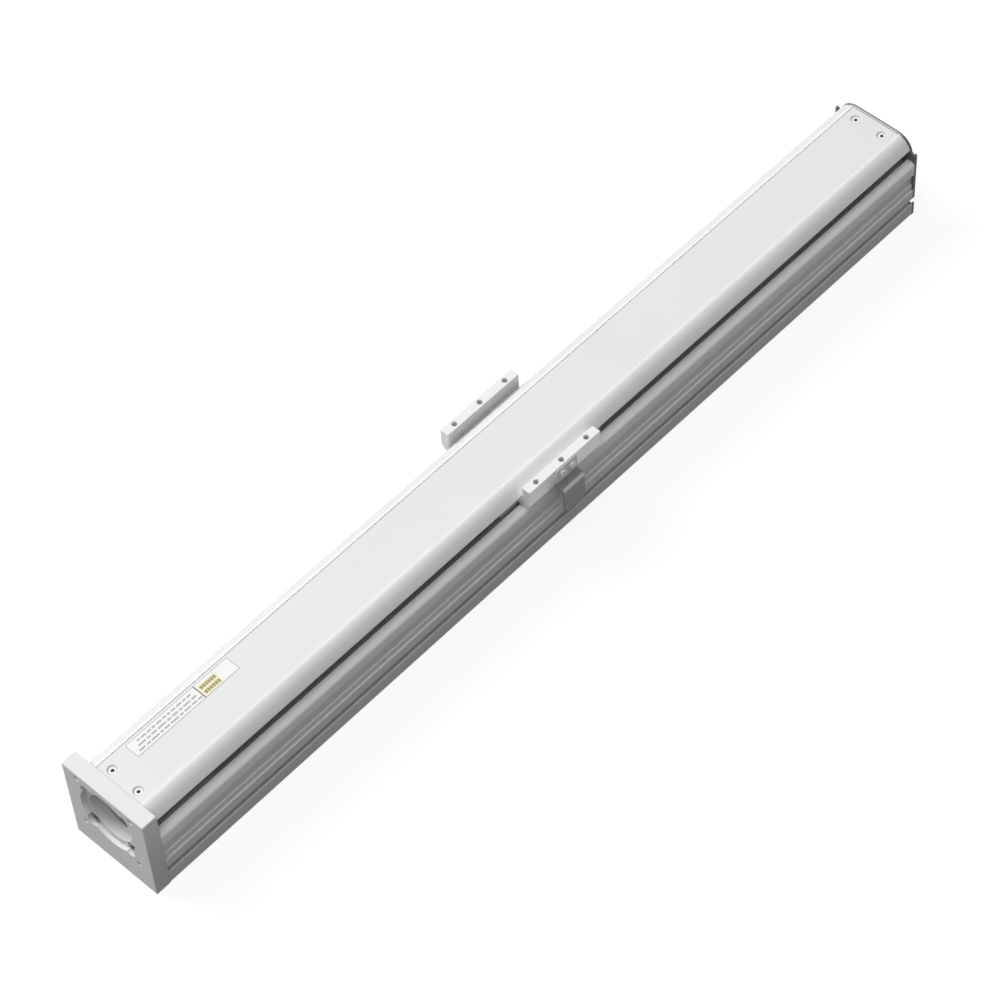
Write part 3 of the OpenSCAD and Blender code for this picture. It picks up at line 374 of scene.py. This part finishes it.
def moulded(name, color, roughness):
    """Rubber or moulded resin: fine orange-peel skin."""
    s = Shader(name)
    skin = s.noise(2600, detail=4)
    rounded = s.rounded_edges(0.25 * MM)
    return s.finish(
        Base_Color=s.tint(color, s.spread(s.noise(90), low=0.85, high=1.15)),
        Roughness=s.spread(skin, low=roughness - 0.06, high=roughness + 0.06),
        Normal=s.bump(skin, depth=0.02 * MM, strength=0.5, normal=rounded),
    )


def paper(name, color):
    """Sticker film with a faint tooth."""
    s = Shader(name)
    tooth = s.noise(3800, detail=3)
    return s.finish(
        Base_Color=s.tint(color, s.spread(s.noise(160), low=0.985, high=1.015)),
        Roughness=s.spread(tooth, low=0.38, high=0.50),
        Normal=s.bump(tooth, depth=0.006 * MM, strength=0.4),
    )


MATERIALS = {
    "cover": anodised(
        "cover_anodised", (0.78, 0.78, 0.78), 0.42, crevice_shade=0.9,
        tones=[
            ("MULTIPLY", COVER_RIM_HIGHLIGHT, COVER_SIDE_PAINTED_LIGHT),
            ("MAXIMUM", COUNTERSINK_SHADE, BESIDE_COUNTERSINKS),
        ],
    ),
    "base": anodised(
        "base_anodised", (0.775, 0.77, 0.768), 0.42, edge=0.5 * MM, light=1.8, crevice_shade=0.82,
        tones=[
            ("MULTIPLY", BASE_LOWER_SHADE),
            ("MINIMUM", BASE_LIP_HIGHLIGHT, LIP_SIDE),
            ("MINIMUM", SLOT_PAINTED_LIGHT, SLOT_INSIDE),
            ("MAXIMUM", SLIT_SHADE, UNDER_SLIT),
        ],
    ),
    "flange": machined(
        "flange_milled", (0.78, 0.78, 0.78), 0.42, metallic=0.0,
        tones=[("MAXIMUM", FLANGE_SIDE_SHADE, FLANGE_INNER)],
    ),
    "carriage": machined(
        "carriage_milled", (0.81, 0.81, 0.81), 0.42, metallic=0.25,
        tones=[("MULTIPLY", EAR_SIDE_PAINTED_LIGHT)],
    ),
    "housing": machined("housing_milled", (0.50, 0.50, 0.51), 0.40),
    # Its colour is that of the painted highlight on the top edge, made dark below it by the tones
    "dark_plate": anodised(
        "plate_black_anodised", (0.68, 0.68, 0.68), 0.42, light=1.3,
        tones=[("MULTIPLY", PLATE_TOP_HIGHLIGHT), ("MAXIMUM", PLATE_OUTER_RIM, PLATE_FACE)],
    ),
    "flag": anodised(
        "flag_sheet", (0.50, 0.50, 0.50), 0.40, light=1.0,
        tones=[("MULTIPLY", FLAG_LIGHT_AND_SHADE)],
    ),
    "bearing_steel": steel("bearing_steel", (0.56, 0.57, 0.58), 0.25),
    "ball_steel": steel("ball_steel", (0.75, 0.76, 0.77), 0.10),
    "brass": steel("cage_brass", (0.72, 0.52, 0.22), 0.30),
    "black_steel": steel("black_oxide", (0.035, 0.035, 0.037), 0.38, metallic=0.6),
    "screw_zinc": steel("screw_zinc", (0.50, 0.50, 0.50), 0.40, metallic=0.35),
    "screw_bright": steel("screw_bright_zinc", (0.80, 0.80, 0.80), 0.40, metallic=0.25),
    "screw_sunk": steel(
        "screw_sunk_zinc", (0.80, 0.80, 0.80), 0.40, metallic=0.15,
        tones=[("MULTIPLY", SCREW_SOCKET_SHADE)],
    ),
    "screw_steel": steel("screw_dark_steel", (0.24, 0.24, 0.24), 0.38, metallic=0.5),
    "rubber": moulded("soft_rubber", (0.020, 0.020, 0.020), 0.62),
    "resin": moulded("cap_resin", (0.030, 0.055, 0.045), 0.48),
    "sticker": paper("sticker_film", (0.87, 0.87, 0.86)),
    "sticker_line": paper("sticker_print_line", (0.42, 0.42, 0.42)),
    "sticker_dark": paper("sticker_print_dark", (0.09, 0.10, 0.10)),
    "sticker_dashes": paper("sticker_print_grey", (0.44, 0.44, 0.44)),
    "sticker_yellow": paper("sticker_print_yellow", (0.84, 0.80, 0.56)),
    "sticker_tan": paper("sticker_print_tan", (0.34, 0.30, 0.13)),
    "ground_screw": steel("screw_ground_steel", (0.60, 0.61, 0.62), 0.22, along=1.0),
}

# The look of each node of the frame
LOOKS = {
    "base_extrusion": "base",
    "top_cover": "cover",
    "cover_screws": "screw_sunk",
    "motor_flange": "flange",
    "flange_screws": "screw_steel",
    "end_plate": "dark_plate",
    "end_plate_screws": "screw_zinc",
    "fixed_housing": "housing",
    "far_housing": "housing",
    "housing_screws": "black_steel",
    "bearing_outer_rings": "bearing_steel",
    "bearing_inner_rings": "bearing_steel",
    "bearing_balls": "ball_steel",
    "bearing_cages": "brass",
    "bearing_retainer": "black_steel",
    "retainer_screws": "black_steel",
    "bearing_collar": "bearing_steel",
    "lock_nut": "black_steel",
    "far_bearing_outer_ring": "bearing_steel",
    "far_bearing_inner_ring": "bearing_steel",
    "far_bearing_balls": "ball_steel",
    "far_bearing_cage": "brass",
    "circlip": "black_steel",
    "screw_shaft": "bearing_steel",
    "guide_rail": "bearing_steel",
    "guide_rail_screws": "black_steel",
    "stop_rubber_motor_side": "rubber",
    "stop_rubber_far_side": "rubber",
    "guide_block": "bearing_steel",
    "guide_block_balls": "ball_steel",
    "guide_block_end_caps": "resin",
    "guide_block_wipers": "rubber",
    "guide_block_screws": "black_steel",
    "grease_nipple": "brass",
    "ball_nut": "bearing_steel",
    "ball_nut_wipers": "rubber",
    "ball_nut_screws": "black_steel",
    "carriage_body": "carriage",
    "sensor_flag": "flag",
    "sensor_flag_screws": "screw_bright",
}


def paint(obj, look):
    obj.data.materials.clear()
    obj.data.materials.append(MATERIALS[look])


def paint_nodes():
    for name, look in LOOKS.items():
        paint(nodes[name], look)


# ---- Pieces --------------------------------------------------------------------------

def piece(name, vertices, faces, look, body, smooth=False):
    """A mesh piece, painted, that rides on a body."""
    mesh = bpy.data.meshes.new(name)
    mesh.from_pydata(vertices, [], faces)
    mesh.update()
    obj = bpy.data.objects.new(name, mesh)
    bpy.context.scene.collection.objects.link(obj)
    for polygon in mesh.polygons:
        polygon.use_smooth = smooth
    paint(obj, look)
    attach(obj, body)
    return obj


def merged(parts):
    """Points and faces of several shapes as one."""
    vertices, faces = [], []
    for points, quads in parts:
        faces += [tuple(index + len(vertices) for index in quad) for quad in quads]
        vertices += points
    return vertices, faces


def ring_faces(rows, columns):
    """Quads between neighbouring rows of a tube whose rows are closed rings."""
    faces = []
    for row in range(rows - 1):
        for column in range(columns):
            across = (column + 1) % columns
            faces.append((
                row * columns + column,
                row * columns + across,
                (row + 1) * columns + across,
                (row + 1) * columns + column,
            ))
    return faces


def screw_radius(x, angle):
    """Radius of the threaded stretch at a place along it, round the ball groove."""
    along = ((x / SCREW_LEAD - angle / (2 * math.pi)) % 1.0 - 0.5) * SCREW_LEAD
    groove = BALL_GROOVE_R**2 - along**2
    if groove <= 0:
        return SCREW_R
    return min(SCREW_R, BALL_CIRCLE_R - math.sqrt(groove))


def screw_stations():
    """Places along the shaft with their radius, which is None where the thread is."""
    low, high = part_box("screw_shaft")
    seat_low, seat_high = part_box("lock_nut")[0].x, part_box("bearing_collar")[1].x
    journal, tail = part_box("far_bearing_inner_ring")
    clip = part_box("circlip")
    thread_start = seat_high + THREAD_RUNOUT
    thread_steps = int((journal.x - seat_high - 2 * THREAD_RUNOUT) / SCREW_STEP)
    return [
        (low.x, 0),
        (low.x, JOURNAL_R - SHAFT_EDGE),
        (low.x + SHAFT_EDGE, JOURNAL_R),
        (seat_low, JOURNAL_R),
        (seat_low, SEAT_R),
        (seat_high, SEAT_R),
        (seat_high, SCREW_R - SHAFT_EDGE),
        (seat_high + SHAFT_EDGE, SCREW_R),
        *[(thread_start + step * SCREW_STEP, None) for step in range(thread_steps + 1)],
        (journal.x - SHAFT_EDGE, SCREW_R),
        (journal.x, SCREW_R - SHAFT_EDGE),
        (journal.x, JOURNAL_R),
        (tail.x, JOURNAL_R),
        (tail.x, JOURNAL_R - SHAFT_EDGE),
        (clip[1].x, JOURNAL_R - SHAFT_EDGE),
        (clip[1].x, JOURNAL_R),
        (high.x - SHAFT_EDGE, JOURNAL_R),
        (high.x, JOURNAL_R - SHAFT_EDGE),
        (high.x, 0),
    ]


def screw_axis_z():
    low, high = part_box("screw_shaft")
    return (low.z + high.z) / 2


def ball_screw():
    """The shaft with its right-hand ball thread, which stands for the plain solid."""
    stations = screw_stations()
    axis_z = screw_axis_z()
    vertices = []
    for x, radius in stations:
        for column in range(SCREW_SIDES):
            angle = column * 2 * math.pi / SCREW_SIDES
            r = screw_radius(x, angle) if radius is None else radius
            vertices.append((x, r * math.sin(angle), axis_z + r * math.cos(angle)))
    faces = ring_faces(len(stations), SCREW_SIDES)
    shaft = piece("ball_screw_thread", vertices, faces, "ground_screw", "screw")
    for polygon in shaft.data.polygons:
        polygon.use_smooth = abs(polygon.normal.x) < SHOULDER_NORMAL
    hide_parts("screw_shaft")


def thread_ridge(mouth, inward, depth):
    """Points and faces of the spiral ridge in a tapped hole."""
    side = inward.orthogonal().normalized()
    up = inward.cross(side)
    steps = int(depth / THREAD_PITCH * RIDGE_SIDES)
    vertices, faces = [], []
    for step in range(steps + 1):
        turn = step / RIDGE_SIDES
        angle = turn * 2 * math.pi
        outward = side * math.cos(angle) + up * math.sin(angle)
        middle = mouth + inward * (turn * THREAD_PITCH + RIDGE_START * THREAD_PITCH)
        fade = min(1.0, step / RIDGE_FADE_STEPS, (steps - step) / RIDGE_FADE_STEPS)
        crest_r = TAPPED_R - RIDGE_HEIGHT * THREAD_PITCH * fade
        ridge = ((-RIDGE_HALF_WIDTH, TAPPED_R), (0.0, crest_r), (RIDGE_HALF_WIDTH, TAPPED_R))
        for offset, r in ridge:
            vertices.append(middle + outward * r + inward * (offset * THREAD_PITCH))
    for step in range(steps):
        a, b = 3 * step, 3 * step + 3
        faces += [(a, a + 1, b + 1, b), (a + 1, a + 2, b + 2, b + 1)]
    return vertices, faces


def tapped_holes():
    """Threads in the tapped holes that are open to the eye."""
    flange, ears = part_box("motor_flange"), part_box("carriage_body")
    axis_z = screw_axis_z()
    half = MOTOR_PITCH / 2
    rearward, downward = Vector((1, 0, 0)), Vector((0, 0, -1))
    motor = [
        thread_ridge(Vector((flange[0].x, y, axis_z + z)), rearward, MOTOR_THREAD_DEPTH)
        for y in (-half, half) for z in (-half, half)
    ]
    piece("motor_hole_threads", *merged(motor), "flange", "stator", smooth=True)
    tops = [
        thread_ridge(Vector((x, y, ears[1].z)), downward, EAR_THREAD_DEPTH)
        for x in (-EAR_PITCH, 0, EAR_PITCH) for y in (-EAR_HOLE_Y, EAR_HOLE_Y)
    ]
    piece("ear_hole_threads", *merged(tops), "carriage", "carriage", smooth=True)


def rounded_outline(low, high, radius):
    """Corner points of a rounded rectangle in the plane, counterclockwise."""
    corners = (
        (high.x, high.y, 0), (low.x, high.y, 90), (low.x, low.y, 180), (high.x, low.y, 270),
    )
    points = []
    for x, y, start in corners:
        cx = x - radius if x == high.x else x + radius
        cy = y - radius if y == high.y else y + radius
        for step in range(CORNER_STEPS + 1):
            angle = math.radians(start + 90 * step / CORNER_STEPS)
            points.append((cx + radius * math.cos(angle), cy + radius * math.sin(angle)))
    return points


def film(low, high, radius, z0, z1):
    """Points and faces of a thin rounded plate."""
    outline = rounded_outline(low, high, radius)
    count = len(outline)
    vertices = [(x, y, z0) for x, y in outline] + [(x, y, z1) for x, y in outline]
    faces = [tuple(range(count, 2 * count)), tuple(reversed(range(count)))]
    for index in range(count):
        after = (index + 1) % count
        faces.append((index, after, count + after, count + index))
    return vertices, faces


def frame_strip(low, high, radius, width, z):
    """Points and faces of a flat border line."""
    inset = Vector((width, width))
    outer = rounded_outline(low, high, radius)
    inner = rounded_outline(low + inset, high - inset, radius - width)
    count = len(outer)
    vertices = [(x, y, z) for x, y in outer] + [(x, y, z) for x, y in inner]
    faces = [(i, (i + 1) % count, count + (i + 1) % count, count + i) for i in range(count)]
    return vertices, faces


def bar(x0, x1, y0, y1, z):
    """Points and face of a flat rectangle."""
    return [(x0, y0, z), (x1, y0, z), (x1, y1, z), (x0, y1, z)], [(0, 1, 2, 3)]


def label():
    """The sticker in the cover's channel, without wording: white film, thin border, rows of plain
    dashes, a dark divider, and a pale yellow block with two rows of short brown bars."""
    top = CHANNEL_Z + LABEL_THICKNESS
    ink = top + INK_RISE
    body = film(LABEL_LOW, LABEL_HIGH, LABEL_CORNER_R, CHANNEL_Z, top)
    piece("label_film", *body, "sticker", "stator")
    border = frame_strip(LABEL_LOW, LABEL_HIGH, LABEL_CORNER_R, BORDER_WIDTH, ink)
    piece("label_border", *border, "sticker_line", "stator")

    x0, x1 = (x * MM for x in DIVIDER)
    divider = bar(x0, x1, LABEL_LOW.y, LABEL_HIGH.y, ink + DIVIDER_RISE)
    piece("label_divider", *divider, "sticker_dark", "stator")

    dashes = []
    for y, x, lengths in LABEL_ROWS:
        y0, y1 = (y - DASH_HALF_WIDTH) * MM, (y + DASH_HALF_WIDTH) * MM
        for length in lengths:
            dashes.append(bar(x * MM, (x + length) * MM, y0, y1, ink))
            x += length + DASH_GAP
    piece("label_dashes", *merged(dashes), "sticker_dashes", "stator")

    block = bar(*(edge * MM for edge in BLOCK), ink)
    piece("label_block", *block, "sticker_yellow", "stator")
    bars = [
        bar(x * MM, (x + BLOCK_BAR_LENGTH) * MM, y * MM, (y + BLOCK_BAR_WIDTH) * MM,
            ink + BLOCK_BAR_RISE)
        for y in BLOCK_BAR_ROWS for x in BLOCK_BAR_PLACES
    ]
    piece("label_block_bands", *merged(bars), "sticker_tan", "stator")


# ---- Scene ---------------------------------------------------------------------------

def make_camera():
    data = bpy.data.cameras.new("camera")
    data.lens = CAMERA_LENS
    data.sensor_width = CAMERA_SENSOR
    camera = bpy.data.objects.new("camera", data)
    camera.location = CAMERA_PLACE
    look = (CAMERA_TARGET - CAMERA_PLACE).to_track_quat("-Z", "Y")
    camera.rotation_mode = "QUATERNION"
    camera.rotation_quaternion = look @ Quaternion((0, 0, 1), CAMERA_ROLL)
    bpy.context.scene.collection.objects.link(camera)
    bpy.context.scene.camera = camera


def seen_directly(tree):
    """1 for a ray from the eye, straight or by metal or glass, 0 for light that falls on things."""
    path = tree.nodes.new("ShaderNodeLightPath")
    seen = path.outputs["Is Camera Ray"]
    for way in ("Is Glossy Ray", "Is Transmission Ray"):
        either = tree.nodes.new("ShaderNodeMath")
        either.operation = "MAXIMUM"
        tree.links.new(seen, either.inputs[0])
        tree.links.new(path.outputs[way], either.inputs[1])
        seen = either.outputs[0]
    return seen


def make_world():
    """White to the eye, and a lower level as light."""
    world = bpy.data.worlds.new("studio")
    world.use_nodes = True
    tree = world.node_tree
    background = tree.nodes["Background"]
    background.inputs["Color"].default_value = WHITE
    strength = tree.nodes.new("ShaderNodeMapRange")
    strength.inputs["To Min"].default_value = WORLD_LEVEL
    strength.inputs["To Max"].default_value = 1.0
    tree.links.new(seen_directly(tree), strength.inputs["Value"])
    tree.links.new(strength.outputs[0], background.inputs["Strength"])
    bpy.context.scene.world = world


def make_lamps():
    for name, (level, towards, size) in LAMPS.items():
        data = bpy.data.lights.new(name, "AREA")
        data.shape = "DISK"
        data.size = size
        data.energy = level * math.pi**2 * LAMP_DISTANCE**2
        lamp = bpy.data.objects.new(name, data)
        lamp.location = towards.normalized() * LAMP_DISTANCE
        lamp.rotation_mode = "QUATERNION"
        lamp.rotation_quaternion = (-lamp.location).to_track_quat("-Z", "Y")
        bpy.context.scene.collection.objects.link(lamp)


def make_floor():
    """White paper to the eye, and a darker grey to the light that it throws back."""
    half = FLOOR_SIZE / 2
    mesh = bpy.data.meshes.new("floor")
    corners, faces = bar(-half, half, -half, half, FLOOR_Z)
    mesh.from_pydata(corners, [], faces)
    floor = bpy.data.objects.new("floor", mesh)
    bpy.context.scene.collection.objects.link(floor)
    s = Shader("floor_paper")
    seen = seen_directly(s.tree)
    color = s.add(
        "ShaderNodeMix", {"A": FLOOR_BOUNCE, "B": FLOOR_SEEN, "Factor": seen}, data_type="RGBA",
    )
    s.finish(
        Base_Color=color.outputs["Result"],
        Roughness=1.0,
        Emission_Color=WHITE,
        Emission_Strength=s.product(seen, FLOOR_GLOW),
    )
    mesh.materials.append(s.material)


paint_nodes()
ball_screw()
tapped_holes()
label()
make_camera()
make_world()
make_lamps()
make_floor()
bpy.context.scene.view_settings.view_transform = "Standard"
